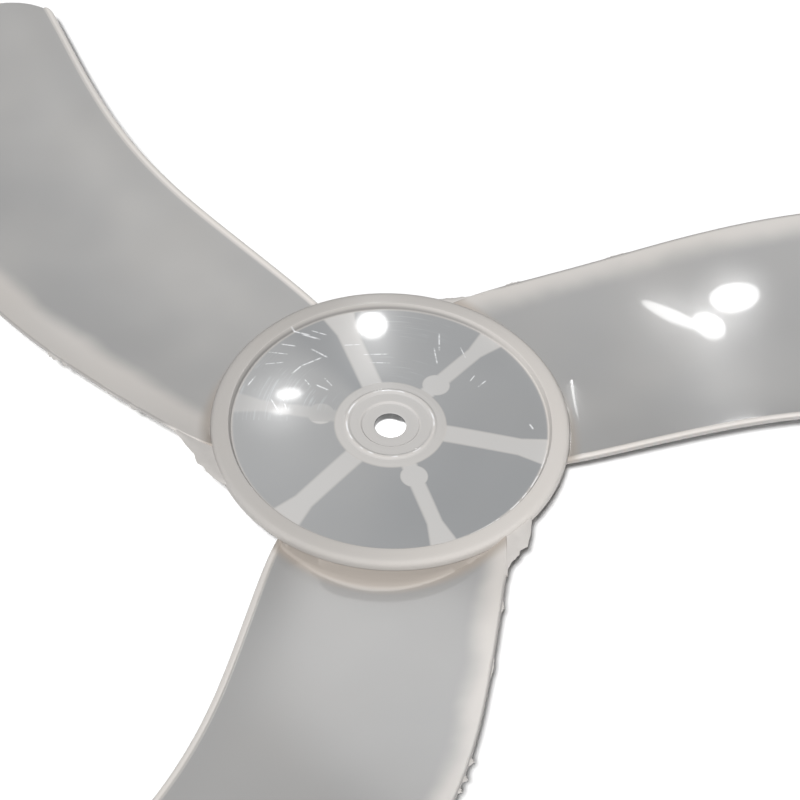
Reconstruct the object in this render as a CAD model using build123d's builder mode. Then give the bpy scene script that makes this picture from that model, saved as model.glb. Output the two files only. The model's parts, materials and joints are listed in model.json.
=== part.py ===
from build123d import *
from math import cos, radians, sin
import os

# Fan impeller moulded in one piece: three cambered blades on a dished, ribbed hub.
# Millimetres. The fan axis is Z, the front (pressure) side faces +Z, and the
# origin is on the axis at the rear face of the boss. Unless a value says
# otherwise, depths are measured down from the rim plane, hub_depth above Z = 0.

# ---- driving dimensions: hub --------------------------------------------

hub_depth = 20.0  # rear face of the boss to the rim plane
rim_r = 47.0
rim_width = 4.7
rim_lip = 0.5  # inner edge of the rim above the rim plane
rim_thick = 3.2
rim_round = 1.5
rim_wall_draft = 0.7  # lean of the rim's inner wall
plate_thick = 1.7
plate_drop = 1.1  # depth of the plate's edge
plate_crown = 1.1  # rise of the plate from its edge to the boss
skirt_inset = 3.0  # rim's edge to the outside of the skirt
skirt_thick = 2.2
skirt_depth = 5.2  # between the blades
skirt_root_depth = 12.5  # behind the blades
skirt_lead_inset = 4.2  # degrees from the corners of a root to the deep skirt
skirt_trail_inset = 8.0

# ---- driving dimensions: boss and ribs ----------------------------------

bore_r = 4.0
bore_chamfer = 0.4
boss_r = 11.0
boss_foot_r = 14.5
boss_rise = 0.2  # front of the boss above the plate
ring_r = 11.5  # raised ring around the shaft nut's seat
ring_rise = 0.35
ring_width = 1.8
ring_crest = 0.6  # flat top of the ring
seat_r = 7.8
seat_drop = 0.45
pin_slot_width = 4.2  # seat of the shaft's cross pin
pin_slot_depth = 4.5
rib_pairs = 3  # narrow and wide ribs take turns
rib_angle = 51.5  # direction of the first narrow rib
narrow_rib = 3.2
wide_rib = 4.8
rib_flare = 7.0  # width where a rib meets the skirt
rib_flare_length = 7.0
rib_boss_depth = 15.0
rib_skirt_depth = 4.7
pad_r = 3.5  # ejector pads on the narrow ribs
pad_circle_r = 18.5  # from the axis to the middle of a pad

# ---- driving dimensions: blades -----------------------------------------

blade_count = 3
blade_height = 10.0  # the edges' heights are given as shares of this
# share of the span from root to tip; direction of the leading and of the
# trailing edge in degrees; heights of both edges above the rim plane
stations = [
    (0.0, -9.0, 76.0, -0.53, -0.02),
    (0.117, -1.9, 61.2, -0.40, -0.14),
    (0.246, 3.1, 51.1, -0.31, -0.20),
    (0.375, 5.7, 45.0, -0.28, -0.13),
    (0.536, 6.4, 38.9, -0.31, 0.13),
    (0.697, 5.3, 33.3, -0.42, 0.46),
    (0.858, 3.7, 29.0, -0.60, 0.72),
    (1.045, 2.3, 25.4, -0.85, 0.90),
]
root_camber = 5.2
mid_camber = 6.2
tip_camber = 4.5
root_wall = 2.6
tip_wall = 1.7
trailing_wall = 1.2
nose_share = 0.8  # wall behind the lip, as a share of the blade's wall
lip_r = 0.95  # rounded lip along the leading edge
lip_sides = 8
lip_rise = 0.45
tip_r = 197.0
tip_rounding = 0.24  # radius of the tip's corners, as a share of the tip's width
tip_trim_margin = 0.3  # degrees
cove_r = 9.0  # hollow blend between the rim and a blade
cove_inset = 0.4

# ---- derived places -----------------------------------------------------

overlap = 0.5  # how far joined shapes run into each other
far = 3 * tip_r
rim_under_z = hub_depth - rim_thick
rim_inner_r = rim_r - rim_width
skirt_r = rim_r - skirt_inset
plate_edge_r = rim_inner_r - rim_wall_draft
plate_edge_z = hub_depth - plate_drop
plate_centre_z = plate_edge_z + plate_crown
skirt_inner_r = skirt_r - skirt_thick
root_r = skirt_r - skirt_thick / 2
boss_front_z = plate_centre_z + boss_rise
seat_z = boss_front_z - seat_drop


def polar(radius, degrees, height=0.0):
    """The point at a radius, a direction and a height."""
    angle = radians(degrees)
    return Vector(radius * cos(angle), radius * sin(angle), height)


def station_r(share):
    """Radius of both edges at a share of the span."""
    return skirt_inner_r + share * (tip_r - skirt_inner_r)


def camber(share):
    """Sag of the blade below its chord, as a curve through three values."""
    middle = 4 * mid_camber - root_camber - tip_camber
    return root_camber * (1 - share) ** 2 + middle * share * (1 - share) + tip_camber * share**2


def chord_plane(station):
    """The upright plane through both edges of a blade, and the chord's length."""
    share, lead_dir, trail_dir, lead_height, trail_height = station
    radius = station_r(share)
    lead = polar(radius, lead_dir, hub_depth + lead_height * blade_height)
    trail = polar(radius, trail_dir, hub_depth + trail_height * blade_height)
    chord = trail - lead
    return Plane(origin=lead, x_dir=chord, z_dir=chord.cross(Vector(0, 0, 1))), chord.length


def blade_section(station):
    """Cross-section of a blade: a thin arched wall with a round lip on its nose."""
    share = station[0]
    plane, chord = chord_plane(station)
    sag = camber(share)
    wall = root_wall + (tip_wall - root_wall) * share
    nose = nose_share * wall
    side = 360 / lip_sides
    # three quarters of the lip's corners, from its front round to its back
    corners = [polar(lip_r, side * (k + 0.5)) for k in range(lip_sides * 3 // 4)]
    lip = [corner + Vector(lip_r, lip_rise - nose / 2) for corner in corners]
    with BuildSketch(plane) as section:
        with BuildLine():
            front = ThreePointArc(lip[0], (chord / 2, -sag), (chord, 0))
            tail = Line(front @ 1, (chord, -trailing_wall))
            back = ThreePointArc(tail @ 1, (chord / 2, -sag - wall), (lip_r, -nose))
            Polyline(back @ 1, *reversed(lip))
        make_face()
    return section.sketch


def root_space_section(station):
    """The space in front of a blade, down to the middle of its wall."""
    plane, chord = chord_plane(station)
    half_wall = root_wall / 2
    with BuildSketch(plane) as section:
        with BuildLine():
            floor = ThreePointArc(
                (2 * lip_r, -half_wall),
                (chord / 2, -camber(station[0]) - half_wall),
                (chord, -trailing_wall / 2),
            )
            Polyline(floor @ 1, (chord, hub_depth), (2 * lip_r, hub_depth), floor @ 0)
        make_face()
    return section.sketch


# ---- blade --------------------------------------------------------------

with BuildSketch() as tip_waste:
    # everything past the trim radius that is outside the round-cornered tip
    trim_from, trim_to = stations[-3], stations[-1]
    lead_from = polar(station_r(trim_from[0]), trim_from[1] - tip_trim_margin)
    lead_to = polar(station_r(trim_to[0]), trim_to[1] - tip_trim_margin)
    trail_from = polar(station_r(trim_from[0]), trim_from[2] + tip_trim_margin)
    trail_to = polar(station_r(trim_to[0]), trim_to[2] + tip_trim_margin)
    with BuildSketch(mode=Mode.PRIVATE) as tip_outline:
        with BuildLine():
            Polyline(
                lead_from + (lead_from - lead_to),
                lead_to,
                trail_to,
                trail_from + (trail_from - trail_to),
                close=True,
            )
        make_face()
        Circle(tip_r, mode=Mode.INTERSECT)
        tip_width = (trail_to - lead_to).length
        fillet(tip_outline.vertices().sort_by(SortBy.DISTANCE)[-2:], tip_rounding * tip_width)
    Circle(far)
    Circle(station_r(trim_from[0]), mode=Mode.SUBTRACT)
    add(tip_outline.sketch, mode=Mode.SUBTRACT)

with BuildPart() as blade:
    loft([blade_section(station) for station in stations])
    # the root ends inside the skirt
    Cylinder(root_r, far, mode=Mode.SUBTRACT)
    extrude(tip_waste.sketch, amount=far, both=True, mode=Mode.SUBTRACT)

with BuildPart() as root_cove:
    loft([root_space_section(station) for station in stations[:3]])
    with BuildSketch(Plane.XZ):
        cove_top = (rim_r - cove_inset, rim_under_z + cove_inset)
        with BuildLine():
            cove = TangentArc(
                cove_top, (cove_top[0] + cove_r, cove_top[1] - cove_r), tangent=(0, -1)
            )
            Polyline(
                cove @ 1,
                (skirt_inner_r + overlap, cove_top[1] - cove_r),
                (skirt_inner_r + overlap, cove_top[1]),
                cove @ 0,
            )
        make_face()
    revolve(axis=Axis.Z, mode=Mode.INTERSECT)

# ---- ribs ---------------------------------------------------------------


def rib_outline(width):
    """One rib along X seen from the front, flared where it meets the skirt."""
    inner = boss_r - overlap
    outer = skirt_inner_r + overlap
    with BuildSketch(Plane.XY.offset(hub_depth - rib_boss_depth)) as outline:
        with BuildLine():
            Polyline(
                (inner, width / 2),
                (outer - rib_flare_length, width / 2),
                (outer, rib_flare / 2),
                (outer, -rib_flare / 2),
                (outer - rib_flare_length, -width / 2),
                (inner, -width / 2),
                close=True,
            )
        make_face()
    return outline.sketch


with BuildPart() as ribs:
    pair_pitch = 360 / rib_pairs
    with PolarLocations(0, rib_pairs, start_angle=rib_angle):
        add(rib_outline(narrow_rib))
    with PolarLocations(0, rib_pairs, start_angle=rib_angle + pair_pitch / 2):
        add(rib_outline(wide_rib))
    with BuildSketch(Plane.XY.offset(hub_depth - rib_boss_depth)):
        with PolarLocations(pad_circle_r, rib_pairs, start_angle=rib_angle):
            Circle(pad_r)
    extrude(amount=rib_boss_depth)
    with BuildSketch(Plane.XZ):
        # the ribs reach down to the boss's depth and rise towards the skirt
        with BuildLine():
            Polyline(
                (0, hub_depth - rib_boss_depth),
                (boss_r, hub_depth - rib_boss_depth),
                (skirt_r, hub_depth - rib_skirt_depth),
                (skirt_r, plate_edge_z - plate_thick / 2),
                (0, plate_edge_z - plate_thick / 2),
                close=True,
            )
        make_face()
    revolve(axis=Axis.Z, mode=Mode.INTERSECT)

# ---- impeller -----------------------------------------------------------

with BuildPart() as skirt_gap:
    with BuildSketch(Plane.XY.offset(hub_depth - skirt_root_depth)):
        with BuildLine():
            gap_from = stations[0][2] - skirt_trail_inset
            gap_to = stations[0][1] + skirt_lead_inset + 360 / blade_count
            Polyline((0, 0), polar(2 * rim_r, gap_from), polar(2 * rim_r, gap_to), close=True)
        make_face()
    extrude(amount=skirt_root_depth - skirt_depth)

with BuildPart() as impeller:
    with BuildSketch(Plane.XZ):
        # rim and skirt
        with BuildLine():
            wall = Line((plate_edge_r, plate_edge_z), (rim_inner_r, hub_depth + rim_lip))
            top = Line(wall @ 1, (rim_r - rim_round, hub_depth))
            shoulder = TangentArc(top @ 1, (rim_r, hub_depth - rim_round), tangent=top % 1)
            side = Line(shoulder @ 1, (rim_r, rim_under_z + rim_round / 2))
            Polyline(
                side @ 1,
                (rim_r - rim_round / 2, rim_under_z),
                (skirt_r, rim_under_z),
                (skirt_r, hub_depth - skirt_root_depth),
                (skirt_inner_r, hub_depth - skirt_root_depth),
                (skirt_inner_r, plate_edge_z - plate_thick),
                (plate_edge_r - overlap, plate_edge_z - plate_thick),
                (plate_edge_r - overlap, plate_edge_z),
                wall @ 0,
            )
        make_face()
    revolve(axis=Axis.Z)
    with PolarLocations(0, blade_count):
        # between the blades the skirt is shallow
        add(skirt_gap.part, mode=Mode.SUBTRACT)

    with BuildSketch(Plane.XZ):
        # crowned plate
        middle_r = (plate_edge_r + boss_r) / 2
        middle_z = plate_centre_z - plate_crown / 4
        with BuildLine():
            front = ThreePointArc(
                (boss_r, plate_centre_z), (middle_r, middle_z), (plate_edge_r, plate_edge_z)
            )
            back = ThreePointArc(
                (plate_edge_r, plate_edge_z - plate_thick),
                (middle_r, middle_z - plate_thick),
                (boss_r, plate_centre_z - plate_thick),
            )
            Line(front @ 1, back @ 0)
            Line(back @ 1, front @ 0)
        make_face()
    revolve(axis=Axis.Z)

    with BuildSketch(Plane.XZ):
        # boss with its raised ring and sunk seat
        foot_z = plate_centre_z - plate_thick
        with BuildLine():
            Polyline(
                (bore_r, 0),
                (boss_r, 0),
                (boss_r, foot_z - (boss_foot_r - boss_r)),
                (boss_foot_r, foot_z),
                (boss_foot_r, plate_centre_z - boss_rise),
                (boss_foot_r - boss_rise, boss_front_z),
                (ring_r + ring_width / 2, boss_front_z),
                (ring_r + ring_crest / 2, boss_front_z + ring_rise),
                (ring_r - ring_crest / 2, boss_front_z + ring_rise),
                (ring_r - ring_width / 2, boss_front_z),
                (seat_r, boss_front_z),
                (seat_r - seat_drop, seat_z),
                (bore_r + bore_chamfer, seat_z),
                (bore_r, seat_z - bore_chamfer),
                (bore_r, 0),
            )
        make_face()
    revolve(axis=Axis.Z)
    Box(2 * boss_foot_r, pin_slot_width, 2 * pin_slot_depth, mode=Mode.SUBTRACT)

    add(ribs.part)
    with PolarLocations(0, blade_count):
        add(blade.part)
        add(root_cove.part)

os.makedirs("parts", exist_ok=True)
impeller.part.label = "impeller"
export_step(impeller.part, "parts/impeller.step")
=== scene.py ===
import json
from math import acos, cos, pi, radians, sin, sqrt
from typing import NamedTuple

import bmesh
import bpy
import numpy as np
from mathutils import Matrix, Vector
from mathutils.bvhtree import BVHTree
from mathutils.interpolate import poly_3d_calc

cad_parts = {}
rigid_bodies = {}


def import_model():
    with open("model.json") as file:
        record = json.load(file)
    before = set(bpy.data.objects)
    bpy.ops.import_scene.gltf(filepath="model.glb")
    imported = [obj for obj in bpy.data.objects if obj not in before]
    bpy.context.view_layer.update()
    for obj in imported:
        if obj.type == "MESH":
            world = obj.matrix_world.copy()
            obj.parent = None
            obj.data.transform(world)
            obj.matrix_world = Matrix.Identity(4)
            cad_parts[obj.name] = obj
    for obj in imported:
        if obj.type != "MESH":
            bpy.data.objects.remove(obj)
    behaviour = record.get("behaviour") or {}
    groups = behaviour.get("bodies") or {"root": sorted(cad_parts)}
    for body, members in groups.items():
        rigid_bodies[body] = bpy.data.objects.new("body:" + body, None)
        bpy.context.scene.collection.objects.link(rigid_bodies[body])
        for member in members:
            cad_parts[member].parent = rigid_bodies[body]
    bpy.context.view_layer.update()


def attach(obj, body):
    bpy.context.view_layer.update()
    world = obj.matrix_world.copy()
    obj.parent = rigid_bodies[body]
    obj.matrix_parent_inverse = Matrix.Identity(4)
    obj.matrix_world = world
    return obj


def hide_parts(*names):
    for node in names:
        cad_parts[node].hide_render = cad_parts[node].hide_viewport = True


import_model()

bl_info = {
    "name": "Axial Fan Impeller",
    "version": (1, 0, 0),
    "blender": (4, 5, 0),
    "location": "3D View > Sidebar > Impeller",
    "description": "One-piece moulded axial fan impeller with its finish and stage",
    "category": "Object",
}

MM = 0.001
BODY = "root"
NODE = "impeller"

# The moulding, in millimetres: the axis is Z, the front faces +Z and the boss stands on Z = 0.
HUB_DEPTH = 20.0  # rear of the boss to the rim plane
RIM_R = 47.0
RIM_INNER_R = 42.3
SKIRT_R = 44.0
SKIRT_INNER_R = 41.8
PLATE_EDGE_R = 41.6
PLATE_EDGE_Z = 18.9
PLATE_THICK = 1.7
PLATE_CENTRE_Z = 20.0
RIM_UNDER_Z = 16.8
BOSS_R = 11.0
BOSS_FOOT_R = 14.5
BORE_R = 4.0
RIB_PITCH = 120.0
RIB_ANGLE = 51.5  # first narrow rib
PAD_CIRCLE_R = 18.5
PAD_R = 3.5
LIP_R = 0.95
LIP_RISE = 0.45
NOSE_SHARE = 0.8
ROOT_WALL = 2.6
TIP_WALL = 1.7
TAIL_WALL = 1.2
TAIL_ROUND = 0.5
TIP_R = 197.0
TIP_ROUNDING = 0.24
TIP_MARGIN = 0.3
EDGE_HEIGHT = 10.0
CAMBERS = (5.2, 6.2, 4.5)  # root, middle and tip
COVE_R = 9.0
COVE_TOP = (46.6, 17.2)  # radius and height
PLATE_CROWN = 1.1
BLADE_PITCH = 120.0
SKIRT_SHALLOW_Z = HUB_DEPTH - 5.2  # lower edge of the skirt between the blades
SKIRT_DEEP_Z = HUB_DEPTH - 12.5  # and behind a blade
SKIRT_LEAD = 4.2  # degrees from a leading root to the deep skirt
SKIRT_TRAIL = 8.0  # and from there to the trailing root
SKIRT_STEP = 0.25  # degrees in which the lower edge steps
SENSOR = 36.0

# Share of the span; direction of the leading and of the trailing edge; heights of both.
STATIONS = np.array([
    (0.0, -9.0, 76.0, -0.53, -0.02),
    (0.117, -1.9, 61.2, -0.40, -0.14),
    (0.246, 3.1, 51.1, -0.31, -0.20),
    (0.375, 5.7, 45.0, -0.28, -0.13),
    (0.536, 6.4, 38.9, -0.31, 0.13),
    (0.697, 5.3, 33.3, -0.42, 0.46),
    (0.858, 3.7, 29.0, -0.60, 0.72),
    (1.045, 2.3, 25.4, -0.85, 0.90),
])


# ---- small tools for meshes ------------------------------------------------

def grid_mesh(name, points, loop_closed, row_closed=False, attributes=None):
    """A mesh from points[row, column, xyz] in millimetres."""
    rows, columns = points.shape[:2]
    index = np.arange(rows * columns).reshape(rows, columns)
    r_to = rows if row_closed else rows - 1
    c_to = columns if loop_closed else columns - 1
    faces = []
    for i in range(r_to):
        a, b = index[i], index[(i + 1) % rows]
        for j in range(c_to):
            k = (j + 1) % columns
            faces.append((a[j], a[k], b[k], b[j]))
    mesh = bpy.data.meshes.new(name)
    mesh.from_pydata((points.reshape(-1, 3) * MM).tolist(), [], faces)
    for key, values in (attributes or {}).items():
        layer = mesh.attributes.new(key, "FLOAT", "POINT")
        layer.data.foreach_set("value", np.asarray(values, np.float32).ravel())
    mesh.update()
    return mesh


def tidy_mesh(mesh, merge=0.00001):
    """Merges doubles, drops faces without area and turns all faces outwards."""
    bm = bmesh.new()
    bm.from_mesh(mesh)
    bmesh.ops.remove_doubles(bm, verts=bm.verts, dist=merge)
    bmesh.ops.dissolve_degenerate(bm, dist=merge / 2, edges=bm.edges)
    bmesh.ops.recalc_face_normals(bm, faces=bm.faces)
    bm.to_mesh(mesh)
    bm.free()
    mesh.update()


def new_object(name, mesh):
    obj = bpy.data.objects.new(name, mesh)
    bpy.context.scene.collection.objects.link(obj)
    return obj


def plain_copy(obj, name):
    """The object's evaluated shape as a plain mesh object; the maker object goes."""
    graph = bpy.context.evaluated_depsgraph_get()
    mesh = bpy.data.meshes.new_from_object(obj.evaluated_get(graph))
    mesh.name = name
    bpy.data.objects.remove(obj)
    return new_object(name, mesh)


def soften(obj, angle=40):
    """Smooth shading that keeps the edges sharper than the angle."""
    mesh = obj.data
    mesh.shade_smooth()
    bm = bmesh.new()
    bm.from_mesh(mesh)
    for edge in bm.edges:
        if len(edge.link_faces) == 2 and edge.calc_face_angle(0) > radians(angle):
            edge.smooth = False
    bm.to_mesh(mesh)
    bm.free()


def spline(xs, ys, x):
    """Natural cubic spline through (xs, ys), read at x."""
    n = len(xs)
    h = np.diff(xs)
    a = np.eye(n)
    b = np.zeros(n)
    for i in range(1, n - 1):
        a[i, i - 1:i + 2] = h[i - 1], 2 * (h[i - 1] + h[i]), h[i]
        b[i] = 6 * ((ys[i + 1] - ys[i]) / h[i] - (ys[i] - ys[i - 1]) / h[i - 1])
    m = np.linalg.solve(a, b)
    k = np.clip(np.searchsorted(xs, x) - 1, 0, n - 2)
    t, u, w = x - xs[k], xs[k + 1] - x, h[k]
    return (m[k] * u**3 + m[k + 1] * t**3) / (6 * w) + (ys[k] / w - m[k] * w / 6) * u + (
        ys[k + 1] / w - m[k + 1] * w / 6) * t


def smooth_max(a, b, width):
    """The larger of both, with a round passage of the given width."""
    gap = np.clip(1 - np.abs(a - b) / width, 0, None)
    return np.maximum(a, b) + width * gap * gap / 4


def fillet_path(corners, steps=4):
    """A closed outline in the (radius, height) plane with each corner rounded by its own radius."""
    path = []
    n = len(corners)
    for i, (x, y, r) in enumerate(corners):
        here = np.array((x, y))
        before = np.array(corners[i - 1][:2]) - here
        after = np.array(corners[(i + 1) % n][:2]) - here
        la, lb = np.linalg.norm(before), np.linalg.norm(after)
        before, after = before / la, after / lb
        half = acos(np.clip(before @ after, -1, 1)) / 2
        if r <= 0 or half > radians(88):
            path.append(here)
            continue
        reach = min(r / np.tan(half), 0.49 * la, 0.49 * lb)
        r = reach * np.tan(half)
        middle = here + (before + after) / np.linalg.norm(before + after) * r / sin(half)
        a, b = here + before * reach - middle, here + after * reach - middle
        swing = acos(np.clip(a @ b / r / r, -1, 1))
        for k in range(steps + 1):
            t = k / steps
            path.append(middle + (a * sin((1 - t) * swing) + b * sin(t * swing)) / sin(swing))
    return np.array(path)


# ---- node trees --------------------------------------------------------------

class Value:
    """A number socket of a shader tree that takes part in arithmetic."""

    def __init__(self, tree, socket):
        self.tree, self.socket = tree, socket

    def maths(self, operation, *others, clamp=False):
        node = self.tree.nodes.new("ShaderNodeMath")
        node.operation, node.use_clamp = operation, clamp
        for slot, value in zip(node.inputs, (self, *others)):
            if isinstance(value, Value):
                self.tree.links.new(value.socket, slot)
            else:
                slot.default_value = value
        return Value(self.tree, node.outputs[0])

    def __add__(self, other): return self.maths("ADD", other)
    def __sub__(self, other): return self.maths("SUBTRACT", other)
    def __mul__(self, other): return self.maths("MULTIPLY", other)
    def __neg__(self): return self.maths("MULTIPLY", -1.0)
    def __abs__(self): return self.maths("ABSOLUTE")
    def __mod__(self, other): return self.maths("FLOORED_MODULO", other)
    __radd__ = __add__
    __rmul__ = __mul__

    def __rsub__(self, other):
        return (-self).maths("ADD", other)

    def step(self, low, high):
        """0 below low, 1 above high, smooth between; falls where high is below low."""
        node = self.tree.nodes.new("ShaderNodeMapRange")
        node.interpolation_type = "SMOOTHSTEP"
        self.tree.links.new(self.socket, node.inputs["Value"])
        if low <= high:
            ends = (low, high, 0.0, 1.0)
        else:
            ends = (high, low, 1.0, 0.0)
        for key, value in zip(("From Min", "From Max", "To Min", "To Max"), ends):
            node.inputs[key].default_value = value
        return Value(self.tree, node.outputs["Result"])

    def bump(self, centre, width):
        """1 at the centre, falling smoothly to 0 a width away on both sides."""
        return abs(self - centre).step(width, 0.0)


class Nodes:
    """A node tree under construction."""

    def __init__(self, tree):
        self.tree = tree
        tree.nodes.clear()

    def node(self, kind, settings=None, **sockets):
        """Any node: its settings first, then the values or links of its sockets."""
        made = self.tree.nodes.new(kind if "Node" in kind else "ShaderNode" + kind)
        for key, value in (settings or {}).items():
            setattr(made, key, value)
        for key, value in sockets.items():
            slot = made.inputs[int(key[1:])] if key[0] == "_" else made.inputs[key.replace("_", " ")]
            self.put(slot, value)
        return made

    def put(self, slot, value):
        if isinstance(value, Value):
            value = value.socket
        if isinstance(value, bpy.types.NodeSocket):
            self.tree.links.new(value, slot)
        else:
            slot.default_value = value

    def seen_white(self):
        """1 for rays of the camera, of gloss and of clear matter, which see white all round."""
        rays = self.node("LightPath").outputs
        seen = Value(self.tree, rays["Is Camera Ray"])
        for kind in ("Is Glossy Ray", "Is Transmission Ray"):
            seen = seen.maths("MAXIMUM", Value(self.tree, rays[kind]))
        return seen


class Shader(Nodes):
    """A material's node tree under construction."""

    def __init__(self, name):
        self.material = bpy.data.materials.new(name)
        self.material.use_nodes = True
        super().__init__(self.material.node_tree)

    def coordinates(self):
        """Object coordinates in millimetres: the vector socket and its three numbers."""
        place = self.node("TexCoord").outputs["Object"]
        scaled = self.node("VectorMath", {"operation": "SCALE"}, _0=place, Scale=1 / MM).outputs[0]
        parts = self.node("SeparateXYZ", _0=scaled).outputs
        return scaled, *(Value(self.tree, p) for p in parts)

    def attribute(self, name):
        return Value(self.tree, self.node("Attribute", {"attribute_name": name}).outputs["Fac"])

    def noise(self, vector, scale, detail=3.0, rough=0.5, shift=(0, 0, 0), stretch=(1, 1, 1)):
        """Noise from 0 to 1 about 0.5, its scale in marks per millimetre."""
        placed = self.node("Mapping", _0=vector, Location=shift, Scale=stretch).outputs[0]
        return Value(self.tree, self.node(
            "TexNoise", Vector=placed, Scale=scale, Detail=detail, Roughness=rough).outputs[0])

    def strokes(self, x, y, lines):
        """1 on short straight lines from (x1, y1) to (x2, y2), tapered at their ends."""
        total = None
        for x1, y1, x2, y2, width in lines:
            dx, dy = x2 - x1, y2 - y1
            length2 = dx * dx + dy * dy
            along = ((x - x1) * (dx / length2) + (y - y1) * (dy / length2)).maths("MINIMUM", 1.0)
            along = along.maths("MAXIMUM", 0.0)
            far_x, far_y = x - x1 - along * dx, y - y1 - along * dy
            far = (far_x * far_x + far_y * far_y).maths("SQRT")
            mark = far.step(width, 0.0) * (along * (1 - along)).step(-0.05, 0.12)
            total = mark if total is None else total.maths("MAXIMUM", mark)
        return total

    def mix(self, factor, a, b, blend="MIX"):
        """Colour b over colour a."""
        made = self.tree.nodes.new("ShaderNodeMix")
        made.data_type, made.blend_type = "RGBA", blend
        for slot, value in zip([made.inputs[0], made.inputs[6], made.inputs[7]], (factor, a, b)):
            if slot.type == "RGBA" and not isinstance(value, (Value, bpy.types.NodeSocket)):
                value = (*value[:3], 1.0)
            self.put(slot, value)
        return made.outputs[2]

    def vector(self, x, y, z=0.0):
        return self.node("CombineXYZ", _0=x, _1=y, _2=z).outputs[0]

    def finish(self, surface):
        self.node("OutputMaterial", Surface=surface.outputs[0])
        return self.material


def repeat_tree(name):
    """A geometry tree that sets copies of the incoming mesh round the axis and gives them a material."""
    tree = bpy.data.node_groups.new(name, "GeometryNodeTree")
    face = tree.interface
    face.new_socket("Geometry", in_out="INPUT", socket_type="NodeSocketGeometry")
    face.new_socket("Copies", in_out="INPUT", socket_type="NodeSocketInt")
    face.new_socket("First direction", in_out="INPUT", socket_type="NodeSocketFloat")
    face.new_socket("Finish", in_out="INPUT", socket_type="NodeSocketMaterial")
    face.new_socket("Geometry", in_out="OUTPUT", socket_type="NodeSocketGeometry")

    node = Nodes(tree).node
    given = node("NodeGroupInput").outputs
    points = node("GeometryNodePoints", Count=given["Copies"]).outputs[0]
    number = node("GeometryNodeInputIndex").outputs[0]
    turn = node("Math", {"operation": "DIVIDE"}, _0=2 * pi, _1=given["Copies"]).outputs[0]
    place = node("Math", {"operation": "MULTIPLY_ADD"}, _0=number, _1=turn,
                 _2=given["First direction"]).outputs[0]
    spin = node("CombineXYZ", Z=place).outputs[0]
    turned = node("FunctionNodeEulerToRotation", _0=spin).outputs[0]
    copies = node("GeometryNodeInstanceOnPoints", Points=points, Instance=given["Geometry"],
                  Rotation=turned).outputs[0]
    store = node("GeometryNodeStoreNamedAttribute", {"data_type": "FLOAT", "domain": "INSTANCE"},
                 Name="copy", _0=copies, Value=number).outputs[0]
    real = node("GeometryNodeRealizeInstances", _0=store).outputs[0]
    coated = node("GeometryNodeSetMaterial", Geometry=real, Material=given["Finish"]).outputs[0]
    node("NodeGroupOutput", _0=coated)
    return tree


def repeated(obj, name, copies, first_direction, finish):
    """The object's mesh set round the axis by a geometry tree and made a plain mesh."""
    tree = repeat_tree(name + " round the axis")
    modifier = obj.modifiers.new("Round the axis", "NODES")
    modifier.node_group = tree
    names = {s.name: s.identifier for s in tree.interface.items_tree if s.in_out == "INPUT"}
    modifier[names["Copies"]] = copies
    modifier[names["First direction"]] = radians(first_direction)
    modifier[names["Finish"]] = finish
    return plain_copy(obj, name)


def hand_over(obj):
    """Lets a finished piece ride on the part and stand for the moulded solid."""
    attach(obj, BODY)
    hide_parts(NODE)


# ---- the blades ----------------------------------------------------------------

def blade_row(share):
    """Leading and trailing points and camber at shares of the span, as arrays."""
    xs = STATIONS[:, 0]
    lead_dir, trail_dir, lead_z, trail_z = (spline(xs, STATIONS[:, k], share) for k in range(1, 5))
    radius = SKIRT_INNER_R + share * (TIP_R - SKIRT_INNER_R)
    lead_dir, trail_dir = np.radians(lead_dir), np.radians(trail_dir)
    lead = np.stack([radius * np.cos(lead_dir), radius * np.sin(lead_dir),
                     HUB_DEPTH + lead_z * EDGE_HEIGHT], -1)
    trail = np.stack([radius * np.cos(trail_dir), radius * np.sin(trail_dir),
                      HUB_DEPTH + trail_z * EDGE_HEIGHT], -1)
    root, middle, tip = CAMBERS
    sag = (root * (1 - share) ** 2 + (4 * middle - root - tip) * share * (1 - share)
           + tip * share**2)
    return lead, trail, sag


def arc_height(x, x0, y0, x1, y1, x2, y2):
    """Height at x of the hollow arc through three points, as arrays."""
    a = x0 * (y1 - y2) - y0 * (x1 - x2) + x1 * y2 - x2 * y1
    b = (x0**2 + y0**2) * (y2 - y1) + (x1**2 + y1**2) * (y0 - y2) + (x2**2 + y2**2) * (y1 - y0)
    c = (x0**2 + y0**2) * (x1 - x2) + (x1**2 + y1**2) * (x2 - x0) + (x2**2 + y2**2) * (x0 - x1)
    cx, cy = -b / (2 * a), -c / (2 * a)
    return cy - np.sqrt(np.clip((x0 - cx) ** 2 + (y0 - cy) ** 2 - (x - cx) ** 2, 0, None))


def tip_limit(point):
    """Above 0 where a plan point lies outside the round-cornered tip."""
    def corner(station, column, margin):
        radius = SKIRT_INNER_R + station[0] * (TIP_R - SKIRT_INNER_R)
        angle = radians(station[column] + margin)
        return np.array((radius * cos(angle), radius * sin(angle)))

    lead_a, lead_b = (corner(STATIONS[k], 1, -TIP_MARGIN) for k in (-3, -1))
    trail_a, trail_b = (corner(STATIONS[k], 2, TIP_MARGIN) for k in (-3, -1))
    round_r = TIP_ROUNDING * np.linalg.norm(trail_b - lead_b)

    def inside(a, b, flip):
        along = (b - a) / np.linalg.norm(b - a)
        normal = np.array((-along[1], along[0])) * flip
        return (point - a) @ normal

    from_lead, from_trail = inside(lead_a, lead_b, 1), inside(trail_a, trail_b, -1)
    from_rim = TIP_R - np.linalg.norm(point, axis=-1)

    def edge(side):
        u, v = round_r - side, round_r - from_rim
        outside = np.sqrt(np.clip(u, 0, None) ** 2 + np.clip(v, 0, None) ** 2) - round_r
        return np.where((u > 0) & (v > 0), outside, np.maximum(-side, -from_rim))

    return np.maximum(edge(from_lead), edge(from_trail))


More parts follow.
